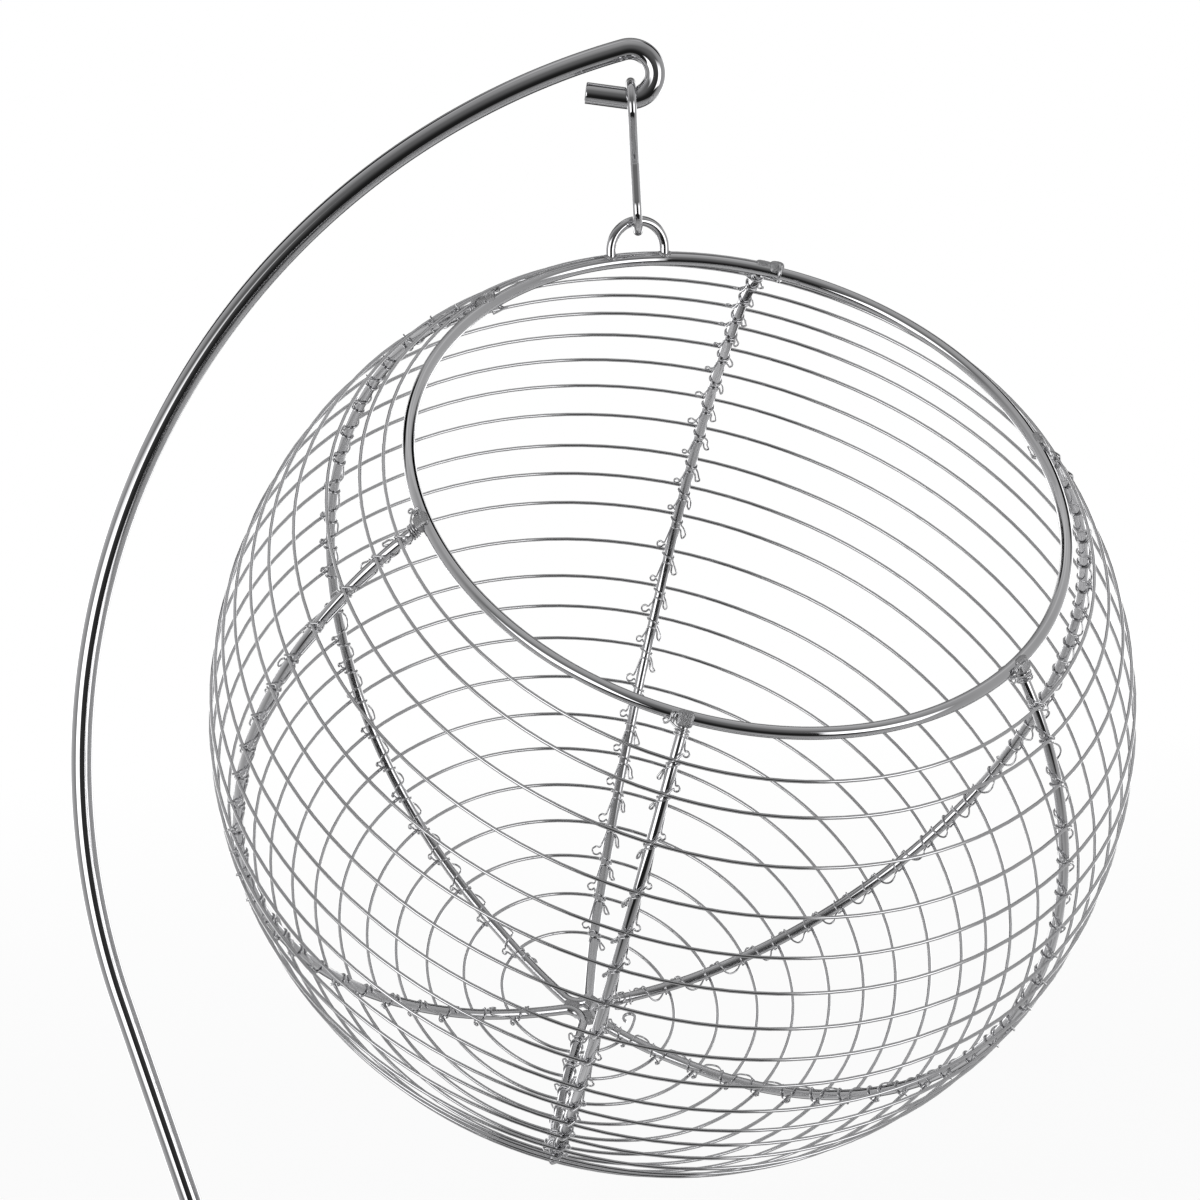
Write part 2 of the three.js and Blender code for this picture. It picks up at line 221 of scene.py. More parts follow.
def blend(tree, share, first, second):
    mix = tree.nodes.new("ShaderNodeMix")
    mix.data_type = "RGBA"
    link(tree, share, mix.inputs["Factor"], first, mix.inputs[6], second, mix.inputs[7])
    return mix.outputs[2]


def plain_colour(tree, grey):
    node = tree.nodes.new("ShaderNodeRGB")
    node.outputs[0].default_value = (grey, grey, grey, 1)
    return node.outputs[0]


tent_mesh = bpy.data.meshes.new("tent")
ball = bmesh.new()
bmesh.ops.create_uvsphere(ball, u_segments=TENT_SEGMENTS, v_segments=TENT_RINGS, radius=TENT_RADIUS)
bmesh.ops.reverse_faces(ball, faces=ball.faces[:])
ball.to_mesh(tent_mesh)
ball.free()
tent = bpy.data.objects.new("tent", tent_mesh)
tent.location = globe_middle
scene.collection.objects.link(tent)
tent_cloth = bpy.data.materials.new("tent_cloth")
tent_cloth.use_nodes = True
tree = tent_cloth.node_tree
tree.nodes.remove(tree.nodes["Principled BSDF"])
axes = tree.nodes.new("ShaderNodeSeparateXYZ")
link(tree, tree.nodes.new("ShaderNodeTexCoord").outputs["Object"], axes.inputs[0])
to_camera = maths(tree, "MULTIPLY", axes.outputs["Y"], -1)
around = maths(tree, "DEGREES", maths(tree, "ARCTAN2", axes.outputs["X"], to_camera))
rise = maths(tree, "DIVIDE", axes.outputs["Z"], TENT_RADIUS)
height = maths(tree, "DEGREES", maths(tree, "ARCSINE", rise))
light = blend(tree, stops_along(tree, around, SIDES_AROUND, FULL_TURN),
              stops_along(tree, height, FRONT_UP, FULL_HEIGHT, STRIP_LIGHT),
              stops_along(tree, around, CLOTH_AROUND, FULL_TURN, STRIP_LIGHT))
on_strip = maths(tree, "MULTIPLY", stops_along(tree, around, STRIPS_AROUND, FULL_TURN),
                 stops_along(tree, height, STRIPS_UP, FULL_HEIGHT))
light = blend(tree, on_strip, light, plain_colour(tree, 1))
on_flag = maths(tree, "MULTIPLY", stops_along(tree, around, FLAGS_AROUND, FULL_TURN, FLAG_SOLID_FROM),
                stops_along(tree, height, FLAGS_UP, FULL_HEIGHT))
light = blend(tree, on_flag, light, plain_colour(tree, 0))
glow = tree.nodes.new("ShaderNodeEmission")
glow.inputs["Strength"].default_value = STRIP_LIGHT
link(tree, light, glow.inputs["Color"], glow.outputs[0], tree.nodes["Material Output"].inputs["Surface"])
tent_mesh.materials.append(tent_cloth)
tent.visible_camera = False
tent.visible_diffuse = False
tent.visible_transmission = False
tent.visible_shadow = False


# Stand rod: one length of 7 mm steel rod, bent into a wide arc beside the globe and back under itself as a
# hook, then polished and chromed. Its tip is cut square, and its straight foot is welded on the base ring.
ROD_DIAMETER = 0.007
ROD_SIDES = 48
ROD_STEP = 0.002
HOOK_BEND_RADIUS = 0.008
HOOK_ARM_LENGTH = 0.0135
HOOK_ARM_RISE_DEG = 10.5
WIDEST_BELOW_GLOBE_MIDDLE = 0.021
CUT_EDGE = 0.0005
CHROME_GREY = 0.58
# Sides of the sections in the CAD, whose flats lie a little inside the round rod
CAD_ROD_SIDES = 10
CAD_RING_SIDES = 12
# Sizes of chrome's light and dark patches, its dull patches and its pores, how dark, how light and how blue
# its grey gets, and the pores' share of its dullness
TONE_PATCH = 0.03
DULL_PATCH = 0.012
PORE = 0.0006
DARKEST = 0.94
LIGHTEST = 1.04
BLUE_TINT = 1.02
PORE_SHARE = 0.3
# The part of a noise's range that is spread over the whole effect
NOISE_LOW = 0.3
NOISE_HIGH = 0.7
# How much narrower a cut end's face is, in cut edges, and the wire's width a third of a cut edge behind it
EDGE_NARROWING = 1.6
SHOULDER_WIDTH = 0.98


def chrome(name, grey, polish, dullness, ripple, ripple_size):
    """Plated steel: a mirror with a faint ripple, patches a little duller than others, and fine pores."""
    material = bpy.data.materials.new(name)
    material.use_nodes = True
    tree = material.node_tree
    metal = tree.nodes["Principled BSDF"]
    metal.inputs["Metallic"].default_value = 1
    place = tree.nodes.new("ShaderNodeTexCoord").outputs["Object"]

    def cloud(size, detail):
        noise = tree.nodes.new("ShaderNodeTexNoise")
        noise.inputs["Scale"].default_value = 1 / size
        noise.inputs["Detail"].default_value = detail
        link(tree, place, noise.inputs["Vector"])
        return noise.outputs["Fac"]

    def spread(value, low, high):
        return map_range(tree, value, NOISE_LOW, NOISE_HIGH, low, high)

    tone = spread(cloud(TONE_PATCH, 3), grey * DARKEST, grey * LIGHTEST)
    colour = tree.nodes.new("ShaderNodeCombineColor")
    link(tree, tone, colour.inputs["Red"], tone, colour.inputs["Green"],
         maths(tree, "MULTIPLY", tone, BLUE_TINT), colour.inputs["Blue"],
         colour.outputs[0], metal.inputs["Base Color"])
    pores = spread(cloud(PORE, 2), 0, dullness * PORE_SHARE)
    dull = maths(tree, "ADD", spread(cloud(DULL_PATCH, 5), polish, dullness), pores)
    link(tree, dull, metal.inputs["Roughness"])
    waves = tree.nodes.new("ShaderNodeBump")
    waves.inputs["Distance"].default_value = ripple
    waves.inputs["Strength"].default_value = 1
    link(tree, cloud(ripple_size, 2), waves.inputs["Height"],
         waves.outputs["Normal"], metal.inputs["Normal"])
    return material


def arc(centre, across, up, radius, start, end, step):
    """Points on an arc about centre, in the plane of the directions across and up, angles in radians."""
    count = max(3, math.ceil(abs(end - start) * radius / step))
    angles = [start + (end - start) * i / count for i in range(count + 1)]
    return [centre + across * radius * math.cos(a) + up * radius * math.sin(a) for a in angles]


def straight(start, end, step):
    count = max(2, math.ceil((end - start).length / step))
    return [start.lerp(end, i / count) for i in range(count + 1)]


def add_input(tree, name, kind):
    return tree.interface.new_socket(name, in_out="INPUT", socket_type=kind).identifier


def wire_from_curve(tree, curve, start):
    """Sweeps a round section along a curve: smooth sides, flat ends, one plain mesh in one material."""
    profile = tree.nodes.new("GeometryNodeCurvePrimitiveCircle")
    radius = maths(tree, "MULTIPLY", start.outputs["Wire Diameter"], 0.5)
    sweep = tree.nodes.new("GeometryNodeCurveToMesh")
    sweep.inputs["Fill Caps"].default_value = True
    section_scale = tree.nodes.new("GeometryNodeInputRadius")
    face = tree.nodes.new("GeometryNodeInputMeshFaceNeighbors")
    four_sided = tree.nodes.new("FunctionNodeCompare")
    four_sided.data_type = "INT"
    four_sided.operation = "EQUAL"
    four_sided.inputs[3].default_value = 4
    smooth = tree.nodes.new("GeometryNodeSetShadeSmooth")
    real = tree.nodes.new("GeometryNodeRealizeInstances")
    finish = tree.nodes.new("GeometryNodeSetMaterial")
    end = tree.nodes.new("NodeGroupOutput")
    link(tree, radius, profile.inputs["Radius"], start.outputs["Sides"], profile.inputs["Resolution"],
         curve, sweep.inputs["Curve"], profile.outputs["Curve"], sweep.inputs["Profile Curve"],
         section_scale.outputs[0], sweep.inputs["Scale"], sweep.outputs["Mesh"], smooth.inputs["Geometry"],
         face.outputs["Vertex Count"], four_sided.inputs[2], four_sided.outputs[0],
         smooth.inputs["Shade Smooth"], smooth.outputs[0], real.inputs[0], real.outputs[0],
         finish.inputs["Geometry"], start.outputs["Material"], finish.inputs["Material"],
         finish.outputs[0], end.inputs[0])


wire_tree = bpy.data.node_groups.new("wire_along_path", "GeometryNodeTree")
wire_tree.interface.new_socket("Geometry", in_out="OUTPUT", socket_type="NodeSocketGeometry")
add_input(wire_tree, "Geometry", "NodeSocketGeometry")
wire_inputs = {
    "diameter": add_input(wire_tree, "Wire Diameter", "NodeSocketFloat"),
    "sides": add_input(wire_tree, "Sides", "NodeSocketInt"),
    "material": add_input(wire_tree, "Material", "NodeSocketMaterial"),
}
wire_start = wire_tree.nodes.new("NodeGroupInput")
wire_from_curve(wire_tree, wire_start.outputs["Geometry"], wire_start)


def to_plain_piece(helper, name):
    """Turns what a helper object's modifiers make into a plain mesh object, and removes the helper."""
    bpy.context.view_layer.update()
    evaluated = helper.evaluated_get(bpy.context.evaluated_depsgraph_get())
    mesh = bpy.data.meshes.new_from_object(evaluated)
    bpy.data.objects.remove(helper)
    mesh.name = name
    piece = bpy.data.objects.new(name, mesh)
    scene.collection.objects.link(piece)
    return piece


def wire_piece(name, path, diameter, sides, material, *more_paths, closed=False, cut_edge=0.0):
    """One piece of round wire along each path. cut_edge rounds off the two ends of an open wire."""
    curve = bpy.data.curves.new(name + "_path", "CURVE")
    curve.dimensions = "3D"
    for track in (path, *more_paths):
        points = [(point, 1.0) for point in track]
        if cut_edge:
            for end, ahead in ((0, 1), (-1, -2)):
                inward = (track[ahead] - track[end]).normalized()
                rounded = [
                    (track[end], 1 - cut_edge / diameter * EDGE_NARROWING),
                    (track[end] + inward * cut_edge / 3, SHOULDER_WIDTH),
                    (track[end] + inward * cut_edge, 1.0),
                ]
                points = rounded + points[1:] if end == 0 else points[:-1] + rounded[::-1]
        spline = curve.splines.new("POLY")
        spline.points.add(len(points) - 1)
        spline.use_cyclic_u = closed
        for spot, (point, share) in zip(spline.points, points):
            spot.co = (*point, 1)
            spot.radius = share
    helper = bpy.data.objects.new(name + "_helper", curve)
    scene.collection.objects.link(helper)
    drawn = helper.modifiers.new("wire", "NODES")
    drawn.node_group = wire_tree
    drawn[wire_inputs["diameter"]] = diameter
    drawn[wire_inputs["sides"]] = sides
    drawn[wire_inputs["material"]] = material
    return to_plain_piece(helper, name)


def hand_over(piece, body, slot, *nodes):
    """The piece rides on its body and stands for the CAD nodes. The slot is not used."""
    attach(piece, body)
    if nodes:
        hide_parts(*nodes)


def pivot(joint_name):
    return Vector(next(joint["pos_m"] for joint in frame["joints"] if joint["name"] == joint_name))


X, Y, Z = Vector((1, 0, 0)), Vector((0, 1, 0)), Vector((0, 0, 1))
chrome_rod = chrome("chrome_rod", CHROME_GREY, polish=0.0, dullness=0.05, ripple=0.00004, ripple_size=0.02)
rod_low, rod_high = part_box("stand_rod")
ring_low, ring_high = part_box("base_ring")
hook_pivot = pivot("hook_swing")
rod_half_in_cad = ROD_DIAMETER / 2 * math.cos(math.pi / CAD_ROD_SIDES)
ring_radius = (ring_high.x - ring_low.x) / 2 - ROD_DIAMETER / 2 * math.cos(math.pi / CAD_RING_SIDES)
ring_seat = Vector((hook_pivot.x - ring_radius, hook_pivot.y, ROD_DIAMETER / 2))
hook_middle = hook_pivot + Z * (rod_high.z - rod_half_in_cad - HOOK_BEND_RADIUS - hook_pivot.z)
# The wide arc ends where it touches the hook's bend above and the straight foot below
widest = hook_middle.x - rod_low.x - rod_half_in_cad
arc_rise = hook_middle.z - (globe_middle.z - WIDEST_BELOW_GLOBE_MIDDLE)
arc_radius = (widest ** 2 + arc_rise ** 2 - HOOK_BEND_RADIUS ** 2) / (2 * (widest - HOOK_BEND_RADIUS))
arc_middle = hook_middle + X * (arc_radius - widest) - Z * arc_rise
to_ring = ring_seat - arc_middle
ring_angle = math.atan2(to_ring.z, to_ring.x) + 2 * math.pi
foot_touch = ring_angle - math.acos(arc_radius / to_ring.length)
hook_touch = math.atan2(arc_rise, widest - arc_radius)
arm_start = -math.pi / 2 - math.radians(HOOK_ARM_RISE_DEG)
big_arc = arc(arc_middle, X, Z, arc_radius, foot_touch, hook_touch, ROD_STEP)
bend = arc(hook_middle, X, Z, HOOK_BEND_RADIUS, hook_touch, arm_start, ROD_STEP / 4)
arm_along = X * math.sin(arm_start) - Z * math.cos(arm_start)
rod_path = straight(ring_seat, big_arc[0], ROD_STEP)[1:-1] + big_arc + bend[1:]
rod_path += straight(bend[-1], bend[-1] + arm_along * HOOK_ARM_LENGTH, ROD_STEP)[1:]
stand_rod = wire_piece("stand_rod_bent", rod_path, ROD_DIAMETER, ROD_SIDES, chrome_rod, cut_edge=CUT_EDGE)
hand_over(stand_rod, "stand", "chrome_rod", "stand_rod")


# Base ring: the same rod rolled into a ring and butt-welded, flat on the table. The rod's foot stands on its
# left side, joined by a weld bead that runs round the foot.
RING_SIDES = 48
RING_STEPS = 480
WELD_GREY = 0.5
FOOT_BEAD = 0.0016
BEAD_SIDES = 14
BEAD_STEPS = 40
# In thicknesses of the bead
BEAD_WOBBLE = 0.12
BEAD_LIFT = 0.1


def ring_points(centre, across, up, radius, count):
    return arc(centre, across, up, radius, 0, 2 * math.pi, 2 * math.pi * radius / count)[:-1]


def weld_bead(name, foot, leg, along, leg_radius, base_radius, bead):
    """A bead round the joint of a round leg that stands on a round bar: it follows where the two meet."""
    leg = leg.normalized()
    along = (along - leg * along.dot(leg)).normalized()
    sideways = leg.cross(along)
    wobble = random.Random(name)
    path = []
    for i in range(BEAD_STEPS):
        angle = 2 * math.pi * i / BEAD_STEPS
        reach = leg_radius + bead * BEAD_WOBBLE * wobble.uniform(-0.5, 0.5)
        rise = math.sqrt(max(base_radius ** 2 - (leg_radius * math.sin(angle)) ** 2, 0)) + bead * BEAD_LIFT
        path.append(foot + along * reach * math.cos(angle) + sideways * reach * math.sin(angle) + leg * rise)
    return wire_piece(name, path, bead, BEAD_SIDES, weld_metal, closed=True)


ring_middle = Vector((hook_pivot.x, hook_pivot.y, ROD_DIAMETER / 2))
ring_path = ring_points(ring_middle, X, Y, ring_radius, RING_STEPS)
base_ring = wire_piece("base_ring_rolled", ring_path, ROD_DIAMETER, RING_SIDES, chrome_rod, closed=True)
hand_over(base_ring, "stand", "chrome_rod", "base_ring")
weld_metal = chrome("weld_metal", WELD_GREY, polish=0.38, dullness=0.5, ripple=0.00012, ripple_size=0.0007)
foot_leg = big_arc[0] - ring_seat
foot_bead = weld_bead("foot_weld", ring_seat, foot_leg, Y, ROD_DIAMETER / 2, ROD_DIAMETER / 2, FOOT_BEAD)
hand_over(foot_bead, "stand", "chrome_rod")


# S-hook: a loose S of 3 mm wire, 51 mm long, hung over the stand's hook with the basket's eye in its lower
# bend. Both ends are plainly cut, and its short tails lean in towards its middle.
S_HOOK_WIRE = 0.003
S_HOOK_BEND = 0.0076
S_HOOK_LEG = 0.0124
S_HOOK_TAIL_LEAN_DEG = 17
S_HOOK_SIDES = 32
S_HOOK_BEND_STEP = 0.0005
S_HOOK_LEG_STEP = 0.001
S_HOOK_CUT_EDGE = 0.0003
WIRE_GREY = 0.64
chrome_wire = chrome("chrome_wire", WIRE_GREY, polish=0.0, dullness=0.06, ripple=0.00003, ripple_size=0.008)
basket_pivot = pivot("basket_sway")
s_low, s_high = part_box("s_hook")
s_upper = Vector((hook_pivot.x, hook_pivot.y, s_high.z - S_HOOK_WIRE / 2 - S_HOOK_BEND))
s_lower = Vector((basket_pivot.x, basket_pivot.y, s_low.z + S_HOOK_WIRE / 2 + S_HOOK_BEND))
lean = math.asin(2 * S_HOOK_BEND / (s_upper.z - s_lower.z))
tail_lean = math.radians(S_HOOK_TAIL_LEAN_DEG)
upper_bend = arc(s_upper, Y, Z, S_HOOK_BEND, -tail_lean, math.pi + lean, S_HOOK_BEND_STEP)
lower_bend = arc(s_lower, Y, Z, S_HOOK_BEND, lean, -math.pi - tail_lean, S_HOOK_BEND_STEP)
tail = (Y * math.sin(tail_lean) + Z * math.cos(tail_lean)) * S_HOOK_LEG
s_path = straight(upper_bend[0] - tail, upper_bend[0], S_HOOK_LEG_STEP)[:-1] + upper_bend
s_path += straight(upper_bend[-1], lower_bend[0], S_HOOK_LEG_STEP)[1:-1] + lower_bend
s_path += straight(lower_bend[-1], lower_bend[-1] + tail, S_HOOK_LEG_STEP)[1:]
s_hook = wire_piece("s_hook_bent", s_path, S_HOOK_WIRE, S_HOOK_SIDES, chrome_wire, cut_edge=S_HOOK_CUT_EDGE)
hand_over(s_hook, "hook", "chrome_wire", "s_hook")


# Rim ring: 4 mm wire rolled into the ring of the mouth. Six small pads of weld, pressed flat, join it to the
# ribs under it. The hanging eye marks azimuth zero on it.
RIM_WIRE = 0.004
RIM_SIDES = 32
RIM_STEPS = 360
RIB_AZIMUTHS = [math.radians(degrees) for degrees in (-23, 32, 92, 152, 217, 275)]
# A pad's sides along the winding, down the rib and outwards, its place from the rim's middle, how far down
# the rib its slant is taken, and the share of it that its round edges take
PAD_SIZE = (0.0052, 0.0050, 0.0040)
PAD_BELOW_RIM = 0.0008
PAD_OUT = 0.0010
PAD_SLANT_AT = 0.0022
PAD_EDGE = 0.3
PAD_EDGE_STEPS = 5
PAD_ROUNDNESS = 0.6
eye_low, eye_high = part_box("hanging_eye")
to_eye = (eye_low + eye_high) / 2 - rim_middle
to_eye = (to_eye - mouth_axis * to_eye.dot(mouth_axis)).normalized()
to_side = mouth_axis.cross(to_eye)
rim_angle = math.asin(MOUTH_RADIUS / GLOBE_RADIUS)


def on_globe(radius, polar, azimuth):
    """A point at a polar angle from the mouth's axis and an azimuth round it from the eye."""
    outward = to_eye * math.cos(azimuth) + to_side * math.sin(azimuth)
    return globe_middle + outward * radius * math.sin(polar) + mouth_axis * radius * math.cos(polar)


def directions(polar, azimuth):
    """Unit vectors at a place on the globe: down the rib, along the winding, and straight out."""
    outward = on_globe(1, polar, azimuth) - globe_middle
    along = to_side * math.cos(azimuth) - to_eye * math.sin(azimuth)
    return along.cross(outward), along, outward


def weld_pad(name, middle, down, along, outward, size, edge=PAD_EDGE):
    """A small pressed patch of weld with round edges."""
    pad = bmesh.new()
    bmesh.ops.create_cube(pad, size=1)
    bmesh.ops.bevel(pad, geom=pad.edges[:], offset=edge, segments=PAD_EDGE_STEPS, profile=PAD_ROUNDNESS,
                    affect="EDGES")
    turned = Matrix((along, down, outward)).transposed().to_4x4()
    pad.transform(Matrix.Translation(middle) @ turned @ Matrix.Diagonal((*size, 1)))
    bmesh.ops.recalc_face_normals(pad, faces=pad.faces[:])
    for face in pad.faces:
        face.smooth = True
    pad_mesh = bpy.data.meshes.new(name)
    pad.to_mesh(pad_mesh)
    pad.free()
    pad_mesh.materials.append(weld_metal)
    pad_piece = bpy.data.objects.new(name, pad_mesh)
    scene.collection.objects.link(pad_piece)
    hand_over(pad_piece, "globe", "chrome_wire")


rim_path = ring_points(rim_middle, to_eye, to_side, MOUTH_RADIUS, RIM_STEPS)
rim_ring = wire_piece("rim_ring_rolled", rim_path, RIM_WIRE, RIM_SIDES, chrome_wire, closed=True)
hand_over(rim_ring, "globe", "chrome_wire", "rim_ring")
for number, azimuth in enumerate(RIB_AZIMUTHS, 1):
    down, along, outward = directions(rim_angle + PAD_SLANT_AT / GLOBE_RADIUS, azimuth)
    middle = on_globe(GLOBE_RADIUS + PAD_OUT, rim_angle + PAD_BELOW_RIM / GLOBE_RADIUS, azimuth)
    weld_pad("rim_weld_%d" % number, middle, down, along, outward, PAD_SIZE)


# Hanging eye: a U of 3.2 mm wire that leans outwards and stands on the rim. Each of its two feet is joined
# to the rim by a weld bead.
EYE_WIRE = 0.0032
EYE_WIDTH = 0.0186
EYE_HEIGHT = 0.0132
EYE_LEAN_DEG = 34
EYE_SIDES = 32
EYE_BOW_STEP = 0.0005
EYE_LEG_STEP = 0.0007
EYE_BEAD = 0.0013
eye_up = to_eye * math.sin(math.radians(EYE_LEAN_DEG)) + mouth_axis * math.cos(math.radians(EYE_LEAN_DEG))
foot_out = math.sqrt(MOUTH_RADIUS ** 2 - (EYE_WIDTH / 2) ** 2)
eye_foot = rim_middle + to_eye * foot_out
bow_middle = eye_foot + eye_up * (EYE_HEIGHT - EYE_WIDTH / 2)
bow = arc(bow_middle, to_side, eye_up, EYE_WIDTH / 2, 0, math.pi, EYE_BOW_STEP)
feet = [eye_foot + to_side * side * EYE_WIDTH / 2 for side in (1, -1)]
eye_path = straight(feet[0], bow[0], EYE_LEG_STEP)[:-1] + bow + straight(bow[-1], feet[1], EYE_LEG_STEP)[1:]
hanging_eye = wire_piece("hanging_eye_bent", eye_path, EYE_WIRE, EYE_SIDES, chrome_wire)
hand_over(hanging_eye, "globe", "chrome_wire", "hanging_eye")
for side, foot in zip(("left", "right"), feet):
    bead = weld_bead("eye_weld_" + side, foot, eye_up, to_side, EYE_WIRE / 2, RIM_WIRE / 2, EYE_BEAD)
    hand_over(bead, "globe", "chrome_wire")


# Ribs: three hairpins of 3.5 mm wire. Each runs down one meridian of the globe, round a tight bend beside
# the hub and up the next meridian, and ends under the rim. Patches of weld join the bends to each other.
RIB_WIRE = 0.0035
RIB_SIDES = 28
RIB_STEP = 0.0025
RIB_BEND_RADIUS = 0.005
RIB_BEND_STEPS = 40
# Where a rib leaves its meridian for the bend, and the steps from there to it
LEG_FROM_HUB = 0.04
LEG_STEPS = 14
# The free space that the CAD leaves between two bends
SEAT_GAP = 0.0003
HUB_WELD_SIZE = (0.0042, 0.0052, 0.003)


def beside_hub(bisector, along, across):
    """A place near the hub, from its distances along and across the line midway between two ribs."""
    polar = math.pi - math.hypot(along, across) / GLOBE_RADIUS
    return on_globe(GLOBE_RADIUS, polar, bisector + math.atan2(across, along))


def leg_places(near, far):
    """The places between the end of a meridian and the bend, in the flat measures of beside_hub."""
    return [
        (near[0] + (far[0] - near[0]) * i / LEG_STEPS, near[1] + (far[1] - near[1]) * i / LEG_STEPS)
        for i in range(1, LEG_STEPS)
    ]


halves = [(RIB_AZIMUTHS[i], RIB_AZIMUTHS[i + 1]) for i in (0, 2, 4)]
turn_to_next = [sum(b) / 2 - sum(a) / 2 for a, b in zip(halves, halves[1:])]
turn_to_next.append(2 * math.pi + sum(halves[0]) / 2 - sum(halves[2]) / 2)
bend_middle = (2 * RIB_BEND_RADIUS + RIB_WIRE + SEAT_GAP) / (2 * math.sin(min(turn_to_next) / 2))
leg_end = math.pi - LEG_FROM_HUB / GLOBE_RADIUS
polar_steps = math.ceil((leg_end - rim_angle) * GLOBE_RADIUS / RIB_STEP)
polars = [rim_angle + (leg_end - rim_angle) * i / polar_steps for i in range(polar_steps + 1)]
rib_tracks = []
for number, (first, second) in enumerate(halves, 1):
    bisector = (first + second) / 2
    half_angle = (second - first) / 2
    leg_along = LEG_FROM_HUB * math.cos(half_angle)
    leg_across = LEG_FROM_HUB * math.sin(half_angle)
    leg_distance = math.hypot(leg_across, leg_along - bend_middle)
    touch = math.atan2(leg_across, leg_along - bend_middle) + math.acos(RIB_BEND_RADIUS / leg_distance)
    bend_flat = []
    for i in range(RIB_BEND_STEPS + 1):
        angle = -touch + (2 * touch - 2 * math.pi) * i / RIB_BEND_STEPS
        along_bend = bend_middle + RIB_BEND_RADIUS * math.cos(angle)
        bend_flat.append((along_bend, RIB_BEND_RADIUS * math.sin(angle)))
    leg_in = leg_places((leg_along, -leg_across), bend_flat[0])
    leg_out = leg_places((leg_along, leg_across), bend_flat[-1])[::-1]
    rib_path = [on_globe(GLOBE_RADIUS, polar, first) for polar in polars]
    rib_path += [beside_hub(bisector, *flat) for flat in leg_in + bend_flat + leg_out]
    rib_path += [on_globe(GLOBE_RADIUS, polar, second) for polar in reversed(polars)]
    half_path = len(rib_path) // 2
    rib_tracks += [rib_path[:half_path], rib_path[::-1][:half_path]]
    rib = wire_piece("rib_hairpin_%d_bent" % number, rib_path, RIB_WIRE, RIB_SIDES, chrome_wire)
    hand_over(rib, "globe", "chrome_wire", "rib_hairpin_%d" % number)
for number, (half, turn) in enumerate(zip(halves, turn_to_next), 1):
    azimuth = sum(half) / 2 + turn / 2
    weld_polar = math.pi - bend_middle * math.cos(turn / 2) / GLOBE_RADIUS
    down, along, outward = directions(weld_polar, azimuth)
    middle = on_globe(GLOBE_RADIUS, weld_polar, azimuth)
    weld_pad("hub_weld_%d" % number, middle, down, along, outward, HUB_WELD_SIZE)


# Winding: one 1.1 mm wire, wound by hand round the outside of the ribs in nearly 25 turns, from the rim to
# a place beside the hub. The turns lie a little askew and unevenly, as hand winding leaves them.
WINDING_WIRE = 0.00112
WINDING_SIDES = 10
WINDING_TURNS = 24.77
STEPS_PER_TURN = 120.0
FIRST_POLAR_DEG = 45.4
POLAR_PER_TURN_DEG = 5.12
# How far the turns lie towards the hub in the middle of the winding, more so in its first half
BULGE_DEG = 2.34
BULGE_SKEW_DEG = 4.03
# The tilt of each turn, how it grows to the last one, and the azimuth that is tilted most
ASKEW_DEG = -1.16
ASKEW_GROWTH_DEG = -0.68
ASKEW_AZIMUTH = 0.07
# The first part of a turn lies nearer to the hub
START_DEG = 1.9
START_TURNS = 0.7
# Unevenness: degrees, radians per turn, and radians at the start
SLOW_WAVE = (-0.28, 1.31, 5.18)
QUICK_WAVE = (-0.25, 1.81, 4.68)
winding_radius = GLOBE_RADIUS + RIB_WIRE / 2 + WINDING_WIRE / 2


def winding_polar(turns):
    """The winding's polar angle after so many turns, in radians, worked out as in the node tree below."""
    done = turns / WINDING_TURNS
    bulge = (BULGE_DEG + BULGE_SKEW_DEG * (1 - 2 * done)) * 4 * done * (1 - done)
    degrees = FIRST_POLAR_DEG + POLAR_PER_TURN_DEG * turns + bulge
    degrees += START_DEG * math.exp(-(turns / START_TURNS) ** 2)
    askew = ASKEW_DEG + ASKEW_GROWTH_DEG * done
    degrees += askew * math.cos(RIB_AZIMUTHS[0] + 2 * math.pi * turns - ASKEW_AZIMUTH)
    for size, rate, start_angle in (SLOW_WAVE, QUICK_WAVE):
        degrees += size * math.sin(rate * turns + start_angle)
    return math.radians(degrees)


winding_tree = bpy.data.node_groups.new("winding_on_globe", "GeometryNodeTree")
winding_tree.interface.new_socket("Geometry", in_out="OUTPUT", socket_type="NodeSocketGeometry")
winding_values = {
    "Turns": WINDING_TURNS, "Steps per Turn": STEPS_PER_TURN, "Radius": winding_radius,
    "First Azimuth": RIB_AZIMUTHS[0], "First Polar": FIRST_POLAR_DEG, "Polar per Turn": POLAR_PER_TURN_DEG,
    "Bulge": BULGE_DEG, "Bulge Skew": BULGE_SKEW_DEG, "Start": START_DEG, "Start Turns": START_TURNS,
    "Askew": ASKEW_DEG, "Askew Growth": ASKEW_GROWTH_DEG, "Askew Azimuth": ASKEW_AZIMUTH,
    "Slow Wave": SLOW_WAVE[0], "Slow Rate": SLOW_WAVE[1], "Slow Start": SLOW_WAVE[2],
    "Quick Wave": QUICK_WAVE[0], "Quick Rate": QUICK_WAVE[1], "Quick Start": QUICK_WAVE[2],
    "Wire Diameter": WINDING_WIRE,
}
winding_inputs = {name: add_input(winding_tree, name, "NodeSocketFloat") for name in winding_values}
winding_inputs["Sides"] = add_input(winding_tree, "Sides", "NodeSocketInt")
winding_inputs["Material"] = add_input(winding_tree, "Material", "NodeSocketMaterial")
winding_values.update({"Sides": WINDING_SIDES, "Material": chrome_wire})
winding_start = winding_tree.nodes.new("NodeGroupInput")


def given(name):
    return winding_start.outputs[name]


def in_winding(operation, *values):
    """A maths node of the winding's tree. Sums and products take any number of values."""
    if operation not in ("ADD", "MULTIPLY"):
        return maths(winding_tree, operation, *values)
    result = values[0]
    for value in values[1:]:
        result = maths(winding_tree, operation, result, value)
    return result


def times(*values):
    return in_winding("MULTIPLY", *values)


def plus(*values):
    return in_winding("ADD", *values)


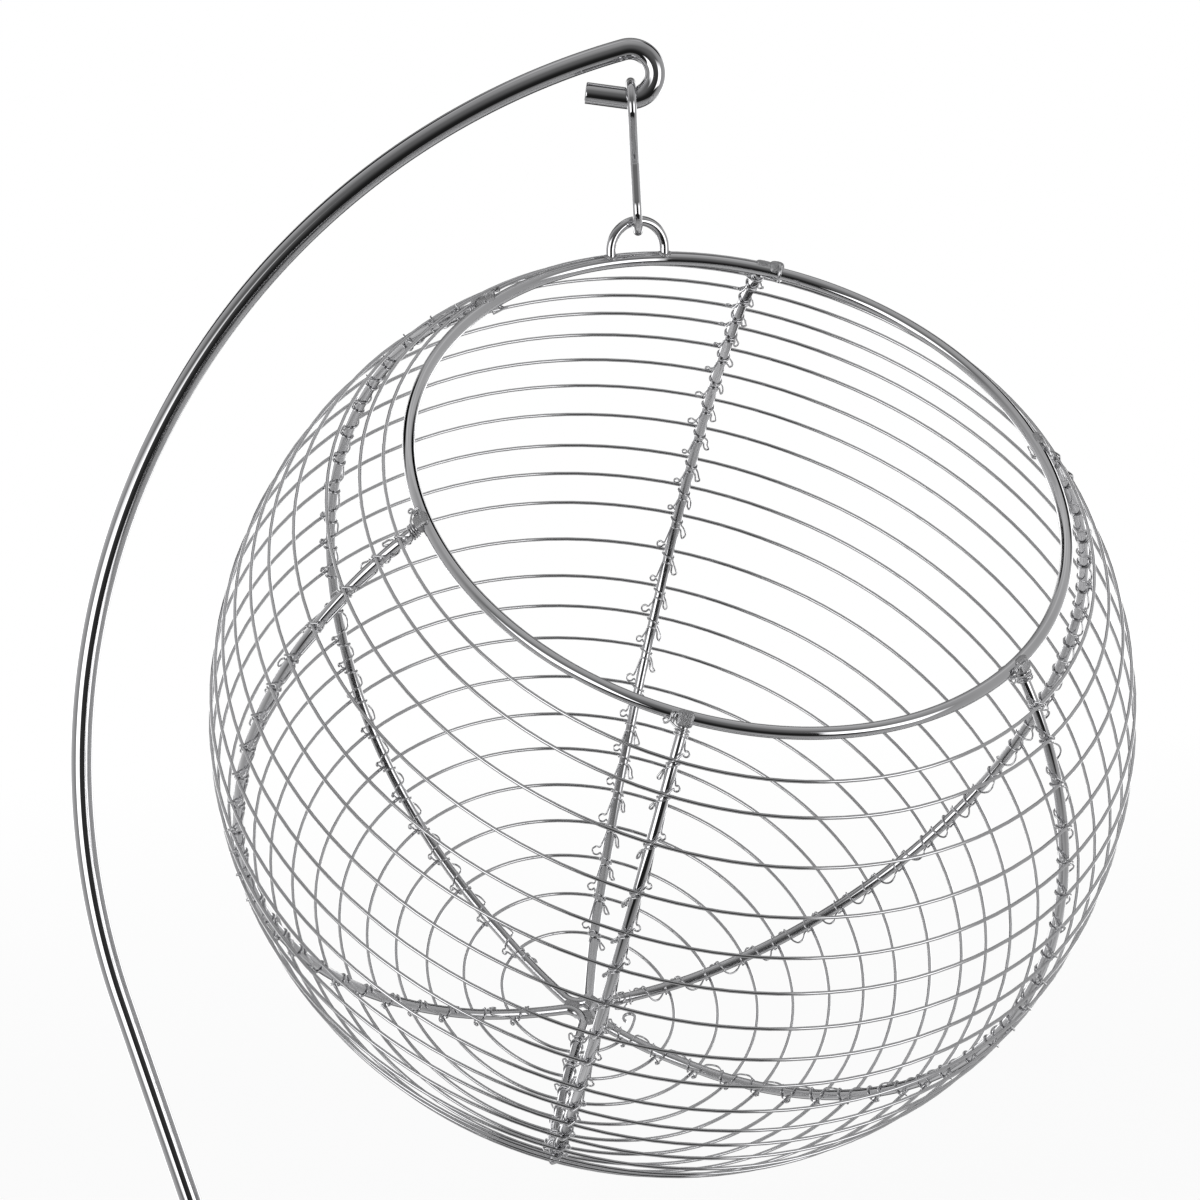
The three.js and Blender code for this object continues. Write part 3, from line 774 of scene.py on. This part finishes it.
def wave(name, turns):
    angle = plus(times(turns, given(name + " Rate")), given(name + " Start"))
    return times(given(name + " Wave"), in_winding("SINE", angle))


line = winding_tree.nodes.new("GeometryNodeMeshLine")
index = winding_tree.nodes.new("GeometryNodeInputIndex").outputs[0]
turns = in_winding("DIVIDE", index, given("Steps per Turn"))
done = in_winding("DIVIDE", turns, given("Turns"))
azimuth = plus(times(turns, 2 * math.pi), given("First Azimuth"))
askew = plus(given("Askew"), times(given("Askew Growth"), done))
from_start = in_winding("DIVIDE", turns, given("Start Turns"))
at_start = in_winding("EXPONENT", times(from_start, from_start, -1))
bulge = plus(given("Bulge"), times(given("Bulge Skew"), in_winding("MULTIPLY_ADD", done, -2, 1)))
degrees = plus(
    given("First Polar"),
    times(turns, given("Polar per Turn")),
    times(given("Start"), at_start),
    times(bulge, 4, done, in_winding("SUBTRACT", 1, done)),
    times(askew, in_winding("COSINE", in_winding("SUBTRACT", azimuth, given("Askew Azimuth")))),
    wave("Slow", turns),
    wave("Quick", turns),
)
polar = in_winding("RADIANS", degrees)
ring = times(in_winding("SINE", polar), given("Radius"))
spot = winding_tree.nodes.new("ShaderNodeCombineXYZ")
placed = winding_tree.nodes.new("GeometryNodeSetPosition")
to_curve = winding_tree.nodes.new("GeometryNodeMeshToCurve")
full_width = winding_tree.nodes.new("GeometryNodeSetCurveRadius")
full_width.inputs["Radius"].default_value = 1
link(winding_tree, times(given("Turns"), given("Steps per Turn")), line.inputs["Count"],
     times(ring, in_winding("COSINE", azimuth)), spot.inputs["X"],
     times(ring, in_winding("SINE", azimuth)), spot.inputs["Y"],
     times(in_winding("COSINE", polar), given("Radius")), spot.inputs["Z"],
     line.outputs["Mesh"], placed.inputs["Geometry"], spot.outputs[0], placed.inputs["Position"],
     placed.outputs["Geometry"], to_curve.inputs["Mesh"],
     to_curve.outputs["Curve"], full_width.inputs["Curve"])
wire_from_curve(winding_tree, full_width.outputs["Curve"], winding_start)

helper = bpy.data.objects.new("winding_helper", bpy.data.meshes.new("winding_helper"))
scene.collection.objects.link(helper)
wound = helper.modifiers.new("winding", "NODES")
wound.node_group = winding_tree
for name, value in winding_values.items():
    wound[winding_inputs[name]] = value
winding = to_plain_piece(helper, "winding_wire_wound")
globe_turn = Matrix((to_eye, to_side, mouth_axis)).transposed().to_4x4()
winding.data.transform(Matrix.Translation(globe_middle) @ globe_turn)
hand_over(winding, "globe", "chrome_wire", "winding_wire")


# Winding's ends, of the same wire: the outer end runs on past the first rib, hooks round the rim and is held
# by a round patch of weld. The inner end is rolled into a small open curl.
CURL_RADIUS = 0.0019
CURL_TO_DEG = 165
CURL_STEP = 0.0003
START_WELD_SIZE = (0.0052, 0.0050, 0.0046)
START_WELD_EDGE = 0.45
START_WELD_AHEAD = 0.0042
START_WELD_OUT = 0.0012
# How far an end reaches back into the winding, and how far each runs straight on before it bends
END_OVERLAP = 0.0004
START_RUN = 0.0012
CURL_RUN = 0.0008
# Millimetres from the rim over the first rib: ahead of the wire's start, down the rib, outwards
HOOK_ROUND_RIM = (
    (3.6, 1.6, 2.9), (4.6, -0.4, 3.0), (5.2, -2.2, 1.9), (5.5, -2.7, 0.0), (5.6, -1.9, -1.9),
    (5.8, 0.0, -2.8), (6.2, 2.0, -2.4), (7.0, 3.6, -1.4), (8.0, 4.0, -0.4), (8.4, 3.2, 0.5), (7.6, 2.5, 0.6),
)
HOOK_SMOOTH_STEPS = 6


def smoothed(points, steps):
    """A Catmull-Rom curve through the points."""
    points = np.array(points)
    padded = np.vstack((2 * points[0] - points[1], points, 2 * points[-1] - points[-2]))
    curve = []
    for a, b, c, d in zip(padded, padded[1:], padded[2:], padded[3:]):
        for i in range(steps):
            t = i / steps
            curve.append(0.5 * (2 * b + (c - a) * t + (2 * a - 5 * b + 4 * c - d) * t ** 2
                                + (3 * b - a - 3 * c + d) * t ** 3))
    return np.array(curve + [points[-1]])


def winding_end(turn, way):
    """An end of the winding: its place, the way on from it, down the rib, and straight out."""
    end, near = (
        on_globe(winding_radius, winding_polar(k), RIB_AZIMUTHS[0] + 2 * math.pi * k)
        for k in (turn, turn - way / STEPS_PER_TURN)
    )
    down, along, outward = directions(winding_polar(turn), RIB_AZIMUTHS[0] + 2 * math.pi * turn)
    return end, (end - near).normalized(), down, outward


start_place, start_ahead, start_down, start_out = winding_end(0, -1)
on_rim = start_place - start_out * (winding_radius - GLOBE_RADIUS)
on_rim = on_rim - start_down * (winding_polar(0) - rim_angle) * GLOBE_RADIUS
hook_points = [start_place - start_ahead * END_OVERLAP, start_place + start_ahead * START_RUN]
for ahead, down, out in HOOK_ROUND_RIM:
    beside_rim = on_rim + start_ahead * ahead / 1000 + start_down * down / 1000
    hook_points.append(beside_rim + start_out * out / 1000)
outer_end = [Vector(point) for point in smoothed(hook_points, HOOK_SMOOTH_STEPS)]
last_turn = (math.floor(WINDING_TURNS * STEPS_PER_TURN) - 1) / STEPS_PER_TURN
end_place, end_ahead, end_down = winding_end(last_turn, 1)[:3]
curl_middle = end_place + end_ahead * CURL_RUN + end_down * CURL_RADIUS
curl_to = math.radians(CURL_TO_DEG)
inner_end = [end_place - end_ahead * END_OVERLAP, end_place + end_ahead * END_OVERLAP]
inner_end += arc(curl_middle, end_ahead, end_down, CURL_RADIUS, -math.pi / 2, curl_to, CURL_STEP)
weld_middle = on_rim + start_ahead * START_WELD_AHEAD + start_out * START_WELD_OUT
weld_pad("winding_weld", weld_middle, start_down, start_ahead * -1, start_out, START_WELD_SIZE,
         START_WELD_EDGE)
winding_ends = wire_piece("winding_wire_ends", outer_end, WINDING_WIRE, WINDING_SIDES, chrome_wire,
                          inner_end)
hand_over(winding_ends, "globe", "chrome_wire")


# Binding wires: six lengths of soft 0.65 mm wire. Each is knotted round the rim beside a rib's weld, then
# lashes that rib to every turn it meets: a small curl, once over the turn and round the rib, and a narrow
# loop that stands off. On three ribs a slack arc to the next turn takes the place of the loop.
BINDING_WIRE = 0.00065
BINDING_SIDES = 6
SMOOTH_STEPS = 4
FIRST_SEED = 101
FIRST_CROSSING_FROM_RIM_DEG = 2.4
LAST_CROSSING_DEG = 174.5
# For each rib: the size of its curls and loops, of its slack arcs if any, the side that they lie on, and the
# size of its knot
LOOSENESS = (1.35, 1.1, 1.0, 0.85, 1.6, 1.4)
SLACK = (0, 0.9, 0, 0, 1.15, 1.0)
LASHED_SIDE = (1, 1, 1, 1, -1, 1)
KNOT_SIZE = (1, 1.35, 1.05, 1, 1.25, 1.1)
# Millimetres from the crossing of rib and turn: down the rib, sideways along the winding, out of the rib
CURL = (
    (-3.8, 2.2, -0.4), (-3.1, 2.5, 0.5), (-3.2, 3.2, 1.0), (-2.5, 3.8, 1.3), (-1.7, 3.4, 1.5),
    (-1.7, 2.6, 1.7), (-2.2, 2.1, 1.9),
)
ROUND_RIB = (
    (-1.5, 1.4, 2.5), (-0.8, 0.8, 2.95), (0, 0, 3.3), (0.8, -0.9, 2.65), (1.5, -1.8, 1.4),
    (1.8, -2.1, -0.1), (1.6, -1.4, -1.6), (1.2, 0.1, -2.1), (0.8, 1.6, -1.4), (0.7, 2.1, 0.1),
    (1.0, 1.5, 1.6), (1.7, 0.2, 2.15), (2.5, -1.2, 1.8), (3.1, -2.0, 1.1),
)
LOOP = ((4.2, -2.7, 0.8), (5.6, -3.2, 0.6), (6.5, -3.3, 0.4), (6.8, -2.8, 0.1), (6.0, -2.3, 0.0))
BEHIND_RIB = ((4.6, -2.1, -0.3), (3.7, -1.6, -1.4), (3.4, 0.1, -2.1), (3.6, 1.4, -1.6), (5.2, 1.7, -1.25))
SLACK_ARC = (
    (3.9, -2.9, 1.0), (5.2, -3.9, 0.8), (6.8, -4.1, 0.4), (8.1, -3.1, -0.6), (8.6, -1.4, -1.9),
    (8.9, 0.6, -2.1), (9.3, 1.9, -1.3),
)
# Where a loop or arc sets off, the arc's length, and the room that the next curl takes above its turn
ROUND_RIB_END = 3.1
ARC_LENGTH = 6.2
CURL_LENGTH = 4.1
# The place that a curl grows from, and how far from the rib's middle a loop or arc starts to stand off
CURL_ROOT_DOWN = -2.5
RIB_SIDE = 2
# Least and most of what hand work changes from crossing to crossing, and the longest loop
CURL_SIZES = (0.8, 1.3)
SLACK_RIB_CURL = 0.8
LOOP_SIZES = (0.75, 1.2)
LONGEST_LOOP = 1.25
LOOP_WIDTHS = (0.8, 1.3)
LIFTS = (-0.3, 0.5)
SLIPS = (-0.4, 0.4)
ARC_SIZES = (0.7, 1.3)
# Shares of the lift: outwards in a curl or arc, and sideways in a loop
LIFT_SHARE = 0.6
LOOP_LEAN_SHARE = 0.5
# Millimetres from the rim's middle, the same three ways: from the loose end on round the rim, and round the
# rib after that
KNOT_ROUND_RIM = (
    (-4.0, -1.6, 2.8), (-2.3, -2.5, 2.8), (0.0, -3.0, 2.6), (1.8, -3.2, 1.8), (2.5, -3.2, 0.1),
    (1.8, -3.2, -1.8), (0.0, -3.2, -2.5), (-1.8, -3.3, -1.8), (-2.5, -3.4, 0.0), (-1.7, -3.6, 1.8),
    (0.1, -3.8, 2.5), (1.8, -4.0, 1.8), (2.5, -4.1, 0.0), (1.8, -4.1, -1.8), (0.0, -4.2, -2.6),
    (-1.9, -4.3, -1.8), (-2.5, -4.3, 0.1), (-1.6, -4.3, 1.9), (0.2, -4.3, 2.5), (2.0, -4.4, 2.0),
    (3.1, -5.0, 1.7), (3.4, -5.9, 1.5), (2.6, -6.4, 1.4), (1.9, -5.7, 1.4), (2.4, -4.5, 1.7),
    (3.4, -2.7, 2.0),
)
KNOT_ROUND_RIB = (
    (4.0, -1.1, 2.3), (4.1, 0.5, 2.3), (4.1, 1.8, 1.3), (4.2, 2.2, -0.2), (4.3, 1.4, -1.6),
    (4.4, -0.1, -2.1), (4.5, -1.5, -1.5), (4.6, -2.2, 0.0), (4.7, -1.5, 1.7), (4.9, 0.1, 2.3),
    (5.0, 1.6, 1.5), (5.1, 2.2, -0.1), (5.2, 1.5, -1.5), (5.3, 0.0, -2.1), (5.4, -1.5, -1.4),
    (5.5, -2.1, 0.1), (5.7, -1.4, 1.6), (5.9, 0.1, 2.2), (6.1, 1.6, 1.4), (6.2, 2.1, -0.1), (6.5, 1.7, -1.2),
)
# Where the knot leaves the rim for the rib, in the same millimetres
KNOT_ON_RIB_FROM = 3.4
# Metres down the rib that the first curl and a full knot take. A knot with less room is squeezed.
FIRST_CURL_ROOM = 0.0038
KNOT_ROOM = 0.0063
# Half of the length over which a rib's direction is taken
HALF_LOOK = 0.0005
binding = chrome("binding_wire", WIRE_GREY, polish=0.0, dullness=0.08, ripple=0.00002, ripple_size=0.004)


def lashed(crossing_to_next, loose, slack, hand):
    """One crossing's strand, in millimetres from the crossing. The last crossing has no next one."""
    slack_here = slack if crossing_to_next else 0
    curl_size = (SLACK_RIB_CURL if slack else loose) * hand.uniform(*CURL_SIZES)
    loop_size = min(LONGEST_LOOP, loose * hand.uniform(*LOOP_SIZES))
    lift = loose * hand.uniform(*LIFTS)
    slip = hand.uniform(*SLIPS)
    strand = []
    for down, sideways, out in CURL:
        down = CURL_ROOT_DOWN + slip + (down - CURL_ROOT_DOWN) * curl_size
        strand.append((down, RIB_SIDE + (sideways - RIB_SIDE) * curl_size, out + lift * LIFT_SHARE))
    strand.extend(ROUND_RIB)
    if slack_here:
        room_for_arc = (crossing_to_next * 1000 - ROUND_RIB_END - CURL_LENGTH) / ARC_LENGTH
        arc_size = slack_here * hand.uniform(*ARC_SIZES)
        for down, sideways, out in SLACK_ARC:
            down = ROUND_RIB_END + (down - ROUND_RIB_END) * room_for_arc
            if sideways < -RIB_SIDE:
                sideways = -RIB_SIDE + (sideways + RIB_SIDE) * arc_size
            strand.append((down, sideways, out + max(0, lift) * LIFT_SHARE))
        return strand
    for down, sideways, out in LOOP:
        down = ROUND_RIB_END + (down - ROUND_RIB_END) * loop_size
        sideways = -RIB_SIDE + (sideways + RIB_SIDE) * loose * hand.uniform(*LOOP_WIDTHS)
        strand.append((down, sideways - lift * LOOP_LEAN_SHARE, out + lift))
    strand.extend(BEHIND_RIB)
    return strand


rib_lashings = zip(RIB_AZIMUTHS, rib_tracks, LOOSENESS, SLACK, LASHED_SIDE, KNOT_SIZE)
for number, (azimuth, track, loose, slack, side, knot_size) in enumerate(rib_lashings):
    hand = random.Random(FIRST_SEED + number)
    places = np.array([tuple(point) for point in track])
    from_middle = places - np.array(globe_middle)
    track_polars = np.arccos(from_middle @ np.array(mouth_axis) / GLOBE_RADIUS)
    lengths = np.concatenate(([0], np.cumsum(np.linalg.norm(np.diff(places, axis=0), axis=1))))

    def on_rib(down, sideways, out):
        """A place beside the rib, from its length down from the rim."""
        here, ahead = (
            np.array([np.interp(length, lengths, places[:, i]) for i in range(3)])
            for length in (down - HALF_LOOK, down + HALF_LOOK)
        )
        middle = Vector((here + ahead) / 2)
        outward = (middle - globe_middle).normalized()
        along = outward.cross(Vector(ahead - here)).normalized()
        if down < lengths[0] + HALF_LOOK:
            middle = middle + outward.cross(along) * (HALF_LOOK - down)
        return middle + along * sideways + outward * out

    first_turn = (azimuth - RIB_AZIMUTHS[0]) / (2 * math.pi)
    crossings = [winding_polar(first_turn + turn) for turn in range(int(WINDING_TURNS) + 1)]
    nearest = rim_angle + math.radians(FIRST_CROSSING_FROM_RIM_DEG)
    crossings = [polar for polar in crossings if nearest < polar < math.radians(LAST_CROSSING_DEG)]
    crossing_lengths = np.interp(crossings, track_polars, lengths)
    squeeze = min(1, (crossing_lengths[0] - FIRST_CURL_ROOM) / KNOT_ROOM)
    knot = list(KNOT_ROUND_RIM)
    for down, sideways, out in KNOT_ROUND_RIB:
        knot.append((KNOT_ON_RIB_FROM + (down - KNOT_ON_RIB_FROM) * squeeze, sideways, out))
    route = []
    for down, sideways, out in knot:
        route.append((down / 1000, sideways * knot_size / 1000, out * knot_size / 1000))
    for crossing, crossing_to_next in zip(crossing_lengths, [*np.diff(crossing_lengths), None]):
        for down, sideways, out in lashed(crossing_to_next, loose, slack, hand):
            route.append((crossing + down / 1000, sideways * side / 1000, out / 1000))
    path = [on_rib(*spot) for spot in smoothed(route, SMOOTH_STEPS)]
    lashing = wire_piece("binding_wire_%d_lashed" % (number + 1), path, BINDING_WIRE, BINDING_SIDES, binding)
    hand_over(lashing, "globe", "binding_wire", "binding_wire_%d" % (number + 1))
